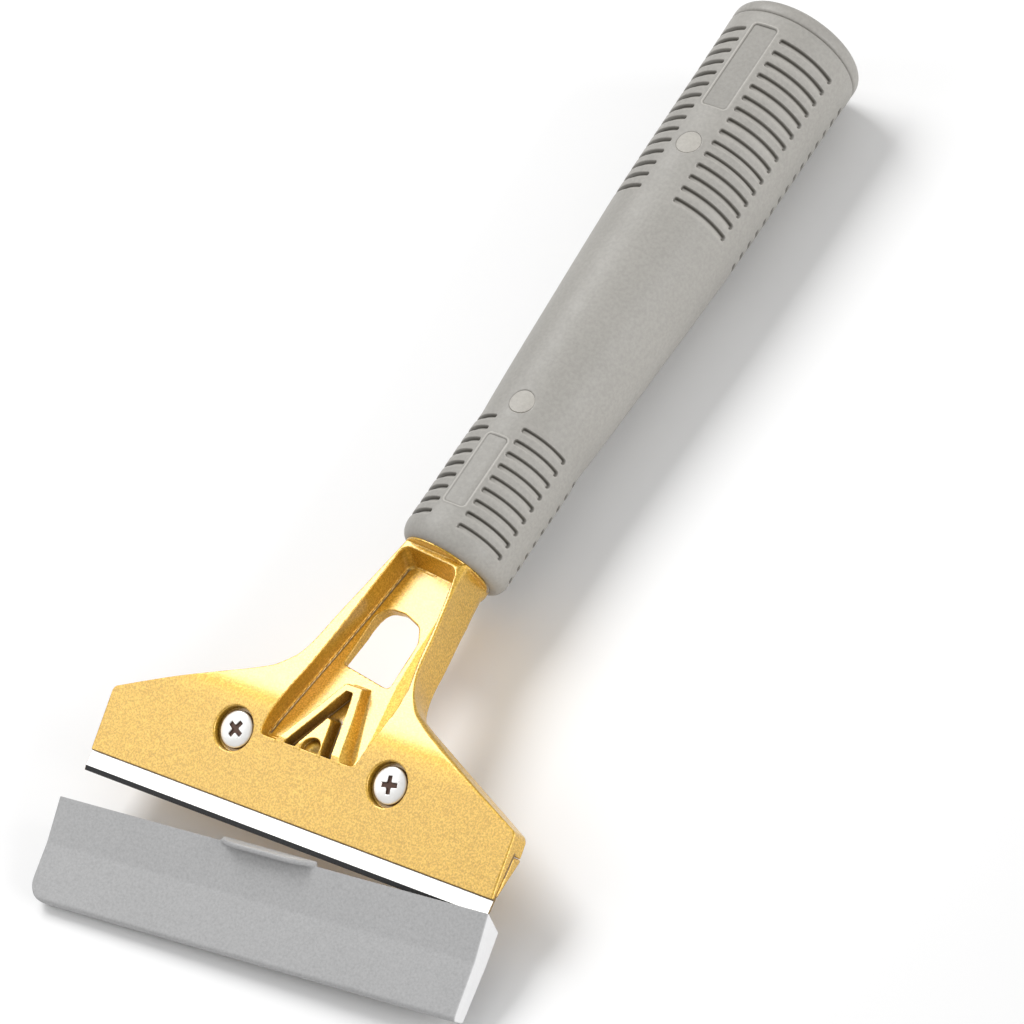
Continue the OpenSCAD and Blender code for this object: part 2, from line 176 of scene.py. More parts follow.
def skin(field, gx, gy, gz, refine=2):
    """Closed surface of field = 0 on a rectilinear grid: (points, quads)."""
    f = np.asarray(field(gx[:, None, None], gy[None, :, None], gz[None, None, :]), float)
    f = np.broadcast_to(f, (len(gx), len(gy), len(gz)))
    ins = f < 0
    cnt = np.zeros(tuple(k - 1 for k in f.shape), np.int8)
    corners = [(a, b, c) for a in (0, 1) for b in (0, 1) for c in (0, 1)]
    nx, ny, nz = cnt.shape
    for a, b, c in corners:
        cnt += ins[a:a + nx, b:b + ny, c:c + nz]
    cells = np.argwhere((cnt > 0) & (cnt < 8))
    index = np.full(cnt.shape, -1, np.int64)
    index[tuple(cells.T)] = np.arange(len(cells))
    val = {k: f[cells[:, 0] + k[0], cells[:, 1] + k[1], cells[:, 2] + k[2]] for k in corners}
    pos = {k: np.stack([gx[cells[:, 0] + k[0]], gy[cells[:, 1] + k[1]], gz[cells[:, 2] + k[2]]], 1) for k in corners}
    total, n = np.zeros((len(cells), 3)), np.zeros(len(cells))
    for k in corners:
        for ax in range(3):
            if k[ax]:
                continue
            q = list(k); q[ax] = 1; q = tuple(q)
            hit = (val[k] < 0) != (val[q] < 0)
            t = np.where(hit, val[k] / np.where(hit, val[k] - val[q], 1), 0)[:, None]
            total += np.where(hit[:, None], pos[k] + (pos[q] - pos[k]) * t, 0)
            n += hit
    v = total / n[:, None]
    quads = []
    for ax in range(3):
        o = [k for k in range(3) if k != ax]
        sl0, sl1 = [slice(None)] * 3, [slice(None)] * 3
        sl0[ax], sl1[ax] = slice(0, -1), slice(1, None)
        for k in o:
            sl0[k] = sl1[k] = slice(1, -1)
        s0, s1 = ins[tuple(sl0)], ins[tuple(sl1)]
        e = np.argwhere(s0 != s1)
        flip = s0[tuple(e.T)]
        e[:, o[0]] += 1
        e[:, o[1]] += 1
        ring = []
        for a, b in ((-1, -1), (0, -1), (0, 0), (-1, 0)):
            c = e.copy()
            c[:, o[0]] += a
            c[:, o[1]] += b
            ring.append(index[tuple(c.T)])
        q = np.stack(ring, 1)
        if ax == 1:
            flip = ~flip
        q[~flip] = q[~flip][:, ::-1]
        quads.append(q)
    quads = np.concatenate(quads)
    quads = quads[(quads >= 0).all(1)]
    step = min(np.diff(gx).min(), np.diff(gy).min(), np.diff(gz).min())
    h = 0.02 * step
    for _ in range(refine):
        f0 = np.asarray(field(v[:, 0], v[:, 1], v[:, 2]))
        g = np.stack([np.asarray(field(*(v + h * d).T)) - np.asarray(field(*(v - h * d).T)) for d in np.eye(3)], 1) / (2 * h)
        move = -f0[:, None] * g / np.maximum((g * g).sum(1), 0.25)[:, None]
        size = np.linalg.norm(move, axis=1, keepdims=True)
        v = v + move * np.minimum(1, 0.4 * step / np.maximum(size, 1e-9))
    return v, quads


def slope_of(field, v, h=0.012):
    """Outward unit direction of the field at each point."""
    g = np.stack([np.asarray(field(*(v + h * d).T)) - np.asarray(field(*(v - h * d).T)) for d in np.eye(3)], 1)
    return g / np.maximum(np.linalg.norm(g, axis=1, keepdims=True), 1e-9)


def lathe(profile, n=128, place=None, phase=0.0):
    """(points, faces) of a profile [(r, m)] turned about the grip's axis; ends on the axis close to a point."""
    verts, faces, rows = [], [], []
    for r, m in profile:
        if r < 1e-6:
            rows.append([len(verts)])
            verts.append((0, m, 0))
        else:
            rows.append(list(range(len(verts), len(verts) + n)))
            verts += [(r * math.sin(phase + 2 * math.pi * k / n), m, r * math.cos(phase + 2 * math.pi * k / n)) for k in range(n)]
    for a, b in zip(rows[:-1], rows[1:]):
        for k in range(n):
            l = (k + 1) % n
            if len(a) == 1:
                faces.append((a[0], b[l], b[k]))
            elif len(b) == 1:
                faces.append((a[k], a[l], b[0]))
            else:
                faces.append((a[k], a[l], b[l], b[k]))
    return np.array(verts), faces


def make(name, verts_w, faces, mat, body, node, smooth=True, attr=None, normals=None):
    """A Blender object from world points in mm, riding on body and standing for the CAD node."""
    me = bpy.data.meshes.new(name)
    me.from_pydata([tuple(p) for p in (np.asarray(verts_w) / 1000).tolist()], [], [tuple(int(i) for i in f) for f in faces])
    me.polygons.foreach_set("use_smooth", [smooth] * len(me.polygons))
    me.materials.append(mat)
    if attr is not None:
        for key, values in attr.items():
            a = me.attributes.new(key, "FLOAT", "POINT")
            a.data.foreach_set("value", np.asarray(values, np.float32))
    me.validate()
    me.update()
    if normals is not None:
        own = np.zeros(len(me.vertices) * 3, np.float32)
        me.vertices.foreach_get("normal", own)
        own = own.reshape(-1, 3)
        use = np.where((own * normals).sum(1, keepdims=True) > 0.55, normals, own)
        me.normals_split_custom_set_from_vertices(use.tolist())
    print("mesh", name, len(me.vertices), "points", sum(len(p.vertices) - 2 for p in me.polygons), "triangles")
    ob = bpy.data.objects.new(name, me)
    bpy.context.scene.collection.objects.link(ob)
    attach(ob, body)
    if node:
        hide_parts(node)
    return ob


def joined(*parts):
    verts, faces, n = [], [], 0
    for v, f in parts:
        verts.append(v)
        faces += [tuple(int(i) + n for i in q) for q in f]
        n += len(v)
    return np.concatenate(verts), faces


# ---------------------------------------------------------------- materials
def new_mat(name, color, rough, metallic=0.0, **extra):
    m = bpy.data.materials.new(name)
    m.use_nodes = True
    nt = m.node_tree
    b = nt.nodes["Principled BSDF"]
    b.inputs["Base Color"].default_value = (*color, 1)
    b.inputs["Roughness"].default_value = rough
    b.inputs["Metallic"].default_value = metallic
    for k, v in extra.items():
        b.inputs[k.replace("_", " ")].default_value = v
    return m, nt, b


def add(nt, kind, **props):
    n = nt.nodes.new(kind)
    for k, v in props.items():
        if k in n.inputs:
            n.inputs[k].default_value = v
        else:
            setattr(n, k, v)
    return n


def noise(nt, co, scale, detail=2.0, rough=0.5, stretch=None):
    if stretch:
        mp = add(nt, "ShaderNodeMapping")
        mp.inputs["Scale"].default_value = stretch
        nt.links.new(co, mp.inputs["Vector"])
        co = mp.outputs["Vector"]
    n = add(nt, "ShaderNodeTexNoise", Scale=scale, Detail=detail, Roughness=rough)
    nt.links.new(co, n.inputs["Vector"])
    return n.outputs["Fac"]


def ramp(nt, fac, stops):
    r = add(nt, "ShaderNodeValToRGB")
    while len(r.color_ramp.elements) < len(stops):
        r.color_ramp.elements.new(0.5)
    for e, (p, c) in zip(r.color_ramp.elements, stops):
        e.position = p
        e.color = (*c, 1) if len(c) == 3 else c
    nt.links.new(fac, r.inputs["Fac"])
    return r.outputs["Color"]


def grey(v):
    return (v, v, v)


def mix(nt, fac, a, b, mode="MIX"):
    m = add(nt, "ShaderNodeMix", data_type="RGBA", blend_type=mode)
    for src, idx in ((fac, 0), (a, 6), (b, 7)):
        if hasattr(src, "is_linked"):
            nt.links.new(src, m.inputs[idx])
        elif isinstance(src, (int, float)):
            m.inputs[idx].default_value = src
        else:
            m.inputs[idx].default_value = (*src, 1)
    return m.outputs[2]


def maths(nt, op, a, b=0.0, clamp=False):
    m = add(nt, "ShaderNodeMath", operation=op, use_clamp=clamp)
    for k, src in enumerate((a, b)):
        if hasattr(src, "is_linked"):
            nt.links.new(src, m.inputs[k])
        else:
            m.inputs[k].default_value = src
    return m.outputs[0]


def bump(nt, b, height, distance, strength=1.0):
    n = add(nt, "ShaderNodeBump", Strength=strength, Distance=distance)
    nt.links.new(height, n.inputs["Height"])
    nt.links.new(n.outputs["Normal"], b.inputs["Normal"])
    return n


def coords(nt):
    return add(nt, "ShaderNodeTexCoord").outputs["Object"]


def gold(name, base, dark, light, rough, painted_shade=False):
    m, nt, b = new_mat(name, base, rough, 0.95, Coat_Weight=1.0, Coat_Roughness=0.25, Coat_IOR=1.78)
    co = coords(nt)
    flake = noise(nt, co, 2600, 2.0, 0.65)
    broad = noise(nt, co, 60, 3.0, 0.5)
    col = ramp(nt, flake, [(0.38, dark), (0.5, base), (0.62, light)])
    tone = ramp(nt, broad, [(0.3, grey(0.95)), (0.7, grey(1.0))])
    col = mix(nt, 1.0, col, tone, "MULTIPLY")
    # painted shade: the mesh's attribute darkens the paint towards dark brown in slots, creases and beside the screws
    if painted_shade:
        at = add(nt, "ShaderNodeAttribute", attribute_name="painted_shade")
        col = mix(nt, at.outputs["Fac"], col, (0.10, 0.045, 0.006))
    nt.links.new(col, b.inputs["Base Color"])
    r = ramp(nt, noise(nt, co, 1100, 2.0, 0.6), [(0.3, grey(rough - 0.04)), (0.7, grey(rough + 0.06))])
    nt.links.new(r, b.inputs["Roughness"])
    orange = noise(nt, co, 2400, 2.0, 0.6)
    skin_ = noise(nt, co, 700, 1.0, 0.5)
    height = maths(nt, "ADD", maths(nt, "MULTIPLY", orange, 0.6), maths(nt, "MULTIPLY", skin_, 0.45))
    bump(nt, b, height, 0.00005, 0.55)
    return m


head_mat = gold("head_paint_mat", (0.78, 0.48, 0.045), (0.63, 0.37, 0.028), (0.94, 0.61, 0.09), 0.54, painted_shade=True)
clamp_mat = gold("clamp_paint_mat", (0.73, 0.45, 0.045), (0.60, 0.35, 0.03), (0.88, 0.57, 0.09), 0.54)


def vinyl(name, base, rough, painted_shade=True):
    m, nt, b = new_mat(name, base, rough)
    b.inputs["Specular IOR Level"].default_value = 0.42
    co = coords(nt)
    broad = noise(nt, co, 35, 3.0, 0.55)
    fine = noise(nt, co, 1400, 3.0, 0.6)
    col = ramp(nt, broad, [(0.3, tuple(c * 0.955 for c in base)), (0.7, tuple(c * 1.03 for c in base))])
    speck = ramp(nt, fine, [(0.35, grey(0.9)), (0.65, grey(1.02))])
    col = mix(nt, 1.0, col, speck, "MULTIPLY")
    # painted shade and painted highlight: the mesh's attributes darken the vinyl in slots and recesses and lighten it
    # along rims
    if painted_shade:
        at = add(nt, "ShaderNodeAttribute", attribute_name="painted_shade")
        col = mix(nt, at.outputs["Fac"], col, (base[0] * 0.13, base[1] * 0.12, base[2] * 0.1))
        painted_lit = add(nt, "ShaderNodeAttribute", attribute_name="edge")
        col = mix(nt, painted_lit.outputs["Fac"], col, tuple(min(1.0, c * 1.6) for c in base))
    nt.links.new(col, b.inputs["Base Color"])
    r = ramp(nt, noise(nt, co, 220, 3.0, 0.6), [(0.3, grey(rough - 0.05)), (0.7, grey(rough + 0.06))])
    nt.links.new(r, b.inputs["Roughness"])
    bump(nt, b, maths(nt, "ADD", maths(nt, "MULTIPLY", fine, 0.5), maths(nt, "MULTIPLY", noise(nt, co, 3200, 2.0, 0.6), 0.5)), 0.00005, 0.5)
    return m


grip_mat = vinyl("grip_vinyl_mat", (0.372, 0.3585, 0.3315), 0.5)
cap_mat = vinyl("cap_vinyl_mat", (0.364, 0.35, 0.324), 0.46, painted_shade=False)
core_mat = vinyl("core_plastic_mat", (0.45, 0.43, 0.39), 0.5, painted_shade=False)


def guard_plastic():
    base = (0.42, 0.42, 0.422)
    m, nt, b = new_mat("guard_plastic_mat", base, 0.44)
    co = coords(nt)
    grain = noise(nt, co, 1900, 3.0, 0.65)
    broad = noise(nt, co, 28, 2.0, 0.5)
    col = ramp(nt, grain, [(0.28, tuple(c * 0.86 for c in base)), (0.5, base), (0.75, tuple(c * 1.12 for c in base))])
    col = mix(nt, 1.0, col, ramp(nt, broad, [(0.3, grey(0.95)), (0.7, grey(1.0))]), "MULTIPLY")
    # painted light: the right end face is painted lighter, standing in for the side lamp's light on it
    at = add(nt, "ShaderNodeAttribute", attribute_name="edge")
    col = mix(nt, at.outputs["Fac"], col, tuple(min(1.0, c * 1.75) for c in base))
    nt.links.new(col, b.inputs["Base Color"])
    nt.links.new(ramp(nt, noise(nt, co, 300, 2.0, 0.5), [(0.3, grey(0.4)), (0.7, grey(0.5))]), b.inputs["Roughness"])
    bump(nt, b, maths(nt, "ADD", maths(nt, "MULTIPLY", grain, 0.6), maths(nt, "MULTIPLY", noise(nt, co, 800, 1.0, 0.5), 0.4)), 0.00008, 0.6)
    return m


guard_mat = guard_plastic()


def blade_steel():
    m, nt, b = new_mat("blade_steel_mat", (0.83, 0.82, 0.8), 0.2, 1.0)
    co = coords(nt)
    # how far a point lies along the blade's own outward direction, from the plate's edge
    out = p_to_w(np.array([[0, -math.cos(TILT), math.sin(TILT)]]))[0] - p_to_w(np.zeros((1, 3)))[0]
    org = p_to_w(np.array([[0, 0, -0.75]]))[0] / 1000
    dot = add(nt, "ShaderNodeVectorMath", operation="DOT_PRODUCT")
    nt.links.new(co, dot.inputs[0])
    dot.inputs[1].default_value = tuple(out)
    dist = maths(nt, "SUBTRACT", dot.outputs["Value"], float(org @ out))
    bevel = maths(nt, "GREATER_THAN", dist, 0.00352)
    lines = noise(nt, co, 260, 3.0, 0.7, stretch=(1, 14, 14))
    grind = noise(nt, co, 260, 3.0, 0.7, stretch=(26, 1, 1))
    body = ramp(nt, lines, [(0.25, (0.93, 0.92, 0.9)), (0.75, (0.98, 0.97, 0.95))])
    # painted reflection: the ground bevel is painted near black, copying the dark reflection it shows
    edge = ramp(nt, grind, [(0.25, (0.05, 0.05, 0.052)), (0.75, (0.10, 0.10, 0.102))])
    # the sheared ends of the strip are dull and brown with old oil
    sep = add(nt, "ShaderNodeSeparateXYZ")
    nt.links.new(co, sep.inputs["Vector"])
    mid = float(p_to_w(np.zeros((1, 3)))[0][0]) / 1000
    cut_end = maths(nt, "GREATER_THAN", maths(nt, "ABSOLUTE", maths(nt, "SUBTRACT", sep.outputs["X"], mid)), 0.04994)
    nt.links.new(mix(nt, cut_end, mix(nt, bevel, body, edge), (0.34, 0.24, 0.12)), b.inputs["Base Color"])
    r0 = ramp(nt, lines, [(0.3, grey(0.24)), (0.7, grey(0.32))])
    r1 = ramp(nt, grind, [(0.3, grey(0.3)), (0.7, grey(0.42))])
    nt.links.new(mix(nt, cut_end, mix(nt, bevel, r0, r1), grey(0.55)), b.inputs["Roughness"])
    bump(nt, b, mix(nt, bevel, lines, grind), 0.000012, 0.4)
    return m


blade_mat = blade_steel()


def plated(name, color, rough, metallic=1.0, painted_shade=False):
    m, nt, b = new_mat(name, color, rough, metallic)
    co = coords(nt)
    n = noise(nt, co, 900, 3.0, 0.6)
    col = ramp(nt, n, [(0.3, tuple(c * 0.95 for c in color)), (0.7, color)])
    # painted shade: the mesh's attribute darkens the plating to dark brown in recesses
    if painted_shade:
        at = add(nt, "ShaderNodeAttribute", attribute_name="painted_shade")
        col = mix(nt, at.outputs["Fac"], col, (0.075, 0.035, 0.022))
    nt.links.new(col, b.inputs["Base Color"])
    nt.links.new(ramp(nt, noise(nt, co, 400, 2.0, 0.6), [(0.3, grey(rough - 0.04)), (0.7, grey(rough + 0.06))]), b.inputs["Roughness"])
    bump(nt, b, noise(nt, co, 700, 2.0, 0.5), 0.00001, 0.3)
    return m


screw_mat = plated("screw_chrome_mat", (0.98, 0.98, 0.97), 0.3, 0.4, painted_shade=True)
pin_mat = plated("pin_steel_mat", (0.6, 0.6, 0.6), 0.32)

# ---------------------------------------------------------------- head casting
NECK = [(-0.9, 7.6), (-3.4, 8.0), (-9.3, 9.05), (-13.7, 9.85), (-18.1, 10.7), (-22.4, 11.5), (-26.5, 12.15),
        (-28.8, 12.65), (-31.5, 13.6), (-34.0, 15.5), (-36.3, 17.9), (-38.5, 21.2), (-41, 26)]


def spline(points, xs):
    """Smooth monotone curve through points sorted by x."""
    p = np.array(sorted(points), float)
    x, y = p[:, 0], p[:, 1]
    h, s = np.diff(x), np.diff(y) / np.diff(x)
    d = np.empty_like(y)
    d[0], d[-1] = s[0], s[-1]
    same = s[:-1] * s[1:] > 0
    w1, w2 = 2 * h[1:] + h[:-1], h[1:] + 2 * h[:-1]
    d[1:-1] = np.where(same, (w1 + w2) / np.where(same, w1 / np.where(s[:-1] == 0, 1, s[:-1]) + w2 / np.where(s[1:] == 0, 1, s[1:]), 1), 0)
    xs = np.clip(xs, x[0], x[-1])
    i = np.clip(np.searchsorted(x, xs) - 1, 0, len(x) - 2)
    t, hh = (xs - x[i]) / h[i], h[i]
    return ((1 + 2 * t) * (1 - t) ** 2 * y[i] + t * (1 - t) ** 2 * hh * d[i]
            + t * t * (3 - 2 * t) * y[i + 1] + t * t * (t - 1) * hh * d[i + 1])


T_M = np.arange(-70, 8, 0.25)
T_W = spline(NECK, T_M)
T_W = np.where(T_M < -41, 26 + (-41 - T_M) * 2.2, T_W)
T_C = 1 / np.sqrt(1 + np.gradient(T_W, T_M) ** 2)
T_B = spline([(-60, 5.0), (-46, 2.4), (-42.5, -0.8), (-38, -3.1), (-36, -3.4), (-33, -3.5), (-30, -3.55), (-25, -3.7), (-20, -4.2), (-15, -4.7),
              (-10, -5.4), (-4, -7.0), (-1, -8.3), (8, -8.4)], T_M)
T_BC = 1 / np.sqrt(1 + np.gradient(T_B, T_M) ** 2)
# the right side stands out a little more than the left
T_A = np.interp(T_M, [-46, -40, -36, -31, -28, -24.5, -17.5, -10, -4], [0, 1.2, 1.6, 1.2, 0.7, 0.45, 0.45, 0.15, 0])
T_R = np.interp(T_M, [-30, -22, -10, -3], [1.4, 1.5, 2.2, 4.2])

corner = np.array([-REACH + 21.26 * PC, 6.45])
side_front = rounded([(-REACH - 20 * PC, -DROP - 20 * PS), tuple(corner), (20, 6.45), (20, -60), (-REACH - 20 * PC, -60)], [0, 21, 0, 0, 0], 20)
SIDE = Shape(side_front, 0.2, 4.0)
# side lines of the pocket at its floor and at the front face
P_LOW = Shape([(-12.95, -50.5), (9.9, -50.5), (10.6, -47), (11.6, -42), (12.0, -37), (11.7, -31.5), (10.3, -24.8), (9.2, -17.8), (7.9, -10.9), (6.6, -4.5), (5.4, 2),
               (-6.1, 2), (-6.9, -4), (-8.1, -14), (-9.2, -22), (-10.0, -28), (-10.9, -34), (-12.3, -44)])
P_TOP = Shape([(-13.4, -50.5), (10.8, -50.5), (11.6, -47), (12.9, -42), (13.5, -37), (13.2, -31.5), (11.45, -24.8), (10.2, -17.8), (8.6, -10.9), (7.0, -4.5), (5.7, 2),
               (-6.6, 2), (-7.2, -3), (-8.1, -15), (-8.9, -25), (-9.9, -34), (-11.5, -42.5), (-12.6, -46)])
WINDOW = Shape(rounded([(-6.9, -28.5), (5.6, -30.6), (5.3, -19.2), (3.3, -15.7), (-1.4, -14.0), (-5.2, -14.2), (-7.0, -16.4)],
                       [0.9, 0.9, 4, 3.5, 5, 2.5, 2.5], 5))
RELIEF = Shape(rounded([(-11.3, -32), (11.3, -32), (10.4, -25), (9.2, -15), (8.4, -11), (7.4, -9.4), (-7.4, -9.4), (-8.4, -11),
                        (-9.2, -15), (-10.4, -25)], [0.8, 0.8, 3, 3, 1, 1, 1, 1, 3, 3], 3))
RIB_OUT = Shape(rounded([(-9.4, 12.6), (14.0, 12.6), (9.0, 28.7), (-1.8, 28.7)], [0, 0, 0, 0.5], 4))
RIB_IN = Shape(rounded([(-7.7, 12.0), (5.35, 12.0), (0.8, 27.2), (-0.75, 27.3)], [0, 0, 0.4, 0.3], 3))
RIB_MID = Shape(rounded([(-4.75, 12.6), (2.7, 12.6), (0.1, 21.0), (-1.05, 21.4)], [0, 0, 0.35, 0.25], 3))
SX, SY = 19.1, 13.2


def to_p(m, f):
    return (m + REACH) * PC + (f + DROP) * PS, -(m + REACH) * PS + (f + DROP) * PC


def head_field(x, m, f):
    y, z = to_p(m, f)
    ax = np.abs(x)
    # plate with its drafted slopes
    al = np.where(x > 0, math.radians(7.0) - math.radians(12.0) * np.clip((50 - x) / 24, 0, 1), math.radians(18.4))
    slope = ((ax - 50) * 0.3901 + (y - 13.0) * 0.9208) * np.cos(al) - z * np.sin(al)
    plate = rmax(ax - 50, slope, 0.9)
    plate = rmax(plate, -y - 0.4, 0.45)
    plate = rmax(plate, y - 27.0, 1.0)
    plate = rmax(plate, -(z + 5.0), 0.6)
    # neck: outline from the front, back profile, rounded back
    mm = np.clip((m - T_M[0]) / 0.25, 0, len(T_M) - 1.001)
    i = mm.astype(np.int32)
    a = mm - i
    tab = lambda t: t[i] * (1 - a) + t[i + 1] * a
    more = tab(T_A) * (x > 0) * (1 - 0.075 * np.clip(6.45 - f, 0, 12))
    neck = rmax((ax - tab(T_W) - more) * tab(T_C), (tab(T_B) - f) * tab(T_BC), tab(T_R))
    mt = m + 0.075 * x + 0.12 * f - 0.5
    neck = rmax(neck, mt + 0.9, 0.2)
    # web under the lower part of the pocket
    web = np.maximum(np.maximum(ax - 13.8, 0.2 - 0.1143 * (m + 42.5) - f), np.maximum(np.maximum(-(m + 44.4), m + 35.5), f - 2.6))
    body = rmin(rmin(plate, neck, 2.2), web, 0.5)
    # the front edges turn round more towards the grip
    edge = 0.35 + (0.25 + 1.3 * np.clip((x - 2.0) / 4.0, 0, 1)) * np.clip((m + 12) / 9, 0, 1) ** 2
    edge = edge + 0.8 * np.clip((x - 15) / 4, 0, 1) * np.clip((50 - x) / 25, 0, 1) * np.clip((y - 12) / 3, 0, 1)
    body = rmax(body, SIDE(m, f), edge)
    # thin collar at the grip
    rad = np.sqrt((x + 0.36) ** 2 + (f - 0.27) ** 2)
    collar = rmax(rmax(rad - 9.35, -(mt + 1.4), 0.2), mt + 0.95, 0.1)
    body = rmin(body, collar, 0.25)
    # pocket with its draft, its ribs and the window
    t = np.clip((f - 1.5) / 4.95, -0.2, 1.2)
    sides = P_LOW(x, m) * (1 - t) + P_TOP(x, m) * t
    end = (m + 2.9 + 0.1 * x - (np.minimum(f, 6.6) - 6.45) * 0.2424) * 0.97
    sides = rmax(rmax(sides, end, 1.8), 14.0 - y, 1.2)
    bead = 0.26 * np.exp(-((sides + 0.36) / 0.17) ** 2) * (x < 0)
    shelf = 0.2 * np.clip(x - np.interp(m, [-50, -45, -40.7, -29, -20, -10], [9.4, 9.2, 8.75, 6.8, 6.3, 6.0]), 0, 4)
    body = cut(body, rmax(sides, 1.5 + bead + shelf - f, 0.2), 0.18)
    # ribs, the outer one with a side that slopes more and more to the right
    top = 3.75 + 0.05 * np.clip(y - 22.5, 0, 7)
    right = (x - 6.8) * 0.955 + (y - 14.5) * 0.297 + (f - top) * np.clip(0.06 * (28 - y), 0.02, 0.8)
    rib = rmax(RIB_OUT(x, y) + (f - top) * 0.1, right, 0.2)
    rib = cut(rib, RIB_IN(x, y), 0.08)
    ring = np.sqrt((x + 0.65) ** 2 + (y - 14.6) ** 2)
    mid = cut(RIB_MID(x, y), ring - 2.15, 0.1)
    cone = rmax(ring - 2.25, (f - 3.3 + 0.48 * ring) * 0.9, 0.15)
    rib = np.minimum(np.minimum(rib, mid), cone)
    rib = rmax(rmax(rib, f - top, 0.2), z, 0.15)
    rib = np.maximum(np.maximum(rib, 1.0 - f), sides - 0.4)
    body = rmin(body, rib, 0.12 + 0.45 * np.clip((x - 2.5) / 2.0, 0, 1) * np.clip((y - 14.5) / 1.0, 0, 1))
    slot = cut(RIB_IN(x, y), RIB_MID(x, y), 0.1)
    slot = rmax(slot, 14.0 - y, 0.2)
    body = cut(body, rmax(slot, 0.75 - f, 0.3), 0.15)
    body = cut(body, WINDOW(x, m), 0.22)
    deep = 0.16 * np.clip(-x - 1.0, 0, 6) * np.clip((m + 30.5) / 8.0, 0.1, 1.2)
    body = cut(body, rmax(RELIEF(x, m), f - 0.15 + deep, 0.5), 0.2)
    # seat of the blade and room for the clamp plate
    yb, zb = y * math.cos(TILT) - (z + 0.75) * math.sin(TILT), y * math.sin(TILT) + (z + 0.75) * math.cos(TILT)
    body = cut(body, rmax(yb - 8.98, zb, 0.12), 0.15)
    lug = np.sqrt((ax - SX) ** 2 + (y - SY) ** 2)
    low = np.maximum(np.abs(ax - SX) - 7.0, np.abs(y - (SY + 4) / 2) - (SY - 4) / 2)
    body = cut(body, rmax(np.minimum(lug - 7.0, low), z + 2.85, 0.3), 0.3)
    # counterbores and screw holes
    body = cut(body, rmax(lug - 4.5, -1.8 - z, 0.2), 0.3)
    body = cut(body, lug - 2.2, 0.12)
    return body


def head_painted_shade(x, m, f):
    """Painted shade: how far a point's colour is darkened in the narrow slots of the ribs, beside a screw, along the
    pocket's wall and lip and under the plate's lower edge.
    """
    y, z = to_p(m, f)
    ax = np.abs(x)
    # painted shade in the ribs' narrow slots, taken back where their floor lies open
    slot = rmax(cut(RIB_IN(x, y), RIB_MID(x, y), 0.1), 13.9 - y, 0.1)
    a = np.clip(0.5 - slot / 0.3, 0, 1) * np.clip((3.45 - f) / 0.35, 0, 1) * 0.9
    a = a * (1 - 0.85 * np.clip((-slot - 0.25) / 0.3, 0, 1) * np.clip((1.3 - f) / 0.3, 0, 1) * np.clip((y - 21.0) / 1.0, 0, 1))
    # painted shade in the ring around the small cone
    ring = np.sqrt((x + 0.65) ** 2 + (y - 14.6) ** 2)
    b = np.clip((2.3 - ring) / 0.3, 0, 1) * np.clip((3.4 - f) / 0.4, 0, 1) * 0.5 * (y > 14.1)
    # painted shade: the upper part of the outer rib's face is painted a little darker
    face_ = np.minimum(RIB_OUT(x, y), 0.0)
    b = np.maximum(b, 0.17 * np.clip((y - 22.5) / 1.2, 0, 1) * np.clip(-face_ / 0.2, 0, 1) * (f > 3.5) * (f < 4.3) * (RIB_IN(x, y) > 0) * (x < 3.0))
    # painted shade on the counterbore's wall beside each screw
    lug = np.sqrt((ax - SX) ** 2 + (y - SY) ** 2)
    c = np.clip((4.45 - lug) / 0.15, 0, 1) * np.clip((-1.1 - z) / 0.4, 0, 1) * 0.65
    # painted shade: a narrow dark line along the foot of the pocket's wall, and the wall itself painted darker
    t = np.clip((f - 1.5) / 4.95, -0.2, 1.2)
    sides = P_LOW(x, m) * (1 - t) + P_TOP(x, m) * t
    d = np.exp(-((sides + 0.60) / 0.17) ** 2) * np.clip((1.75 - f) / 0.15, 0, 1) * (y > 14.6) * (m < -4.5) * (x < 0)
    front = SIDE(m, f)
    g = (0.22 + 0.16 * np.clip((m + 5.5) / 1.5, 0, 1)) * np.clip((0.5 - np.abs(sides)) / 0.2, 0, 1) * np.clip((f - 1.7) / 0.4, 0, 1) * np.clip((-front - 0.3) / 0.4, 0, 1) * (y > 14.1) * (x < 6)
    # painted shade: a fine dark line on the lip at the right, and a painted shadow line under the plate's lower edge
    e = 0.6 * np.exp(-((sides - 0.1) / 0.25) ** 2) * (front > -0.5) * np.clip((x - 4) / 2, 0, 1) * np.clip((m + 36) / 5, 0, 1) * np.clip((-5 - m) / 3, 0, 1)
    h = 0.85 * np.clip((-0.06 - y) / 0.14, 0, 1) * (z > -1.2)
    return np.maximum(np.maximum(np.maximum(a, b), np.maximum(c, d)), np.maximum(np.maximum(e, g), h))


gx = grade((-50.9, -48.6, 0.26), (-48.6, -24.8, 0.55), (-24.8, -13.6, 0.31), (-13.6, 13.6, 0.235), (13.6, 24.8, 0.31), (24.8, 48.6, 0.55), (48.6, 50.9, 0.26))
gm = grade((-62.9, -50.2, 0.28), (-50.2, -0.2, 0.24))
gf = grade((-9.3, 9.7, 0.24))
v, q = skin(head_field, gx, gm, gf)
normal = slope_of(head_field, v)
dark = head_painted_shade(*v.T)
tv, tf = lathe([(0, -0.7), (5.5, -0.7), (5.5, 41.5), (5.0, 42.0), (0, 42.0)], 48)
tn = np.where(np.abs(tv[:, 1:2] - 20) < 21, np.stack([tv[:, 0], 0 * tv[:, 0], tv[:, 2]], 1) / np.maximum(np.hypot(tv[:, 0], tv[:, 2]), 1e-6)[:, None],
              np.sign(tv[:, 1:2] - 20) * np.array([[0.0, 1.0, 0.0]]))
hv, hq = joined((v, q), (tv, tf))
make("head_casting_skin", h_to_w(hv), hq, head_mat, "tool", "head_casting",
     attr={"painted_shade": np.concatenate([dark, np.zeros(len(tv))])}, normals=np.concatenate([normal, tn]) @ R_H.T)

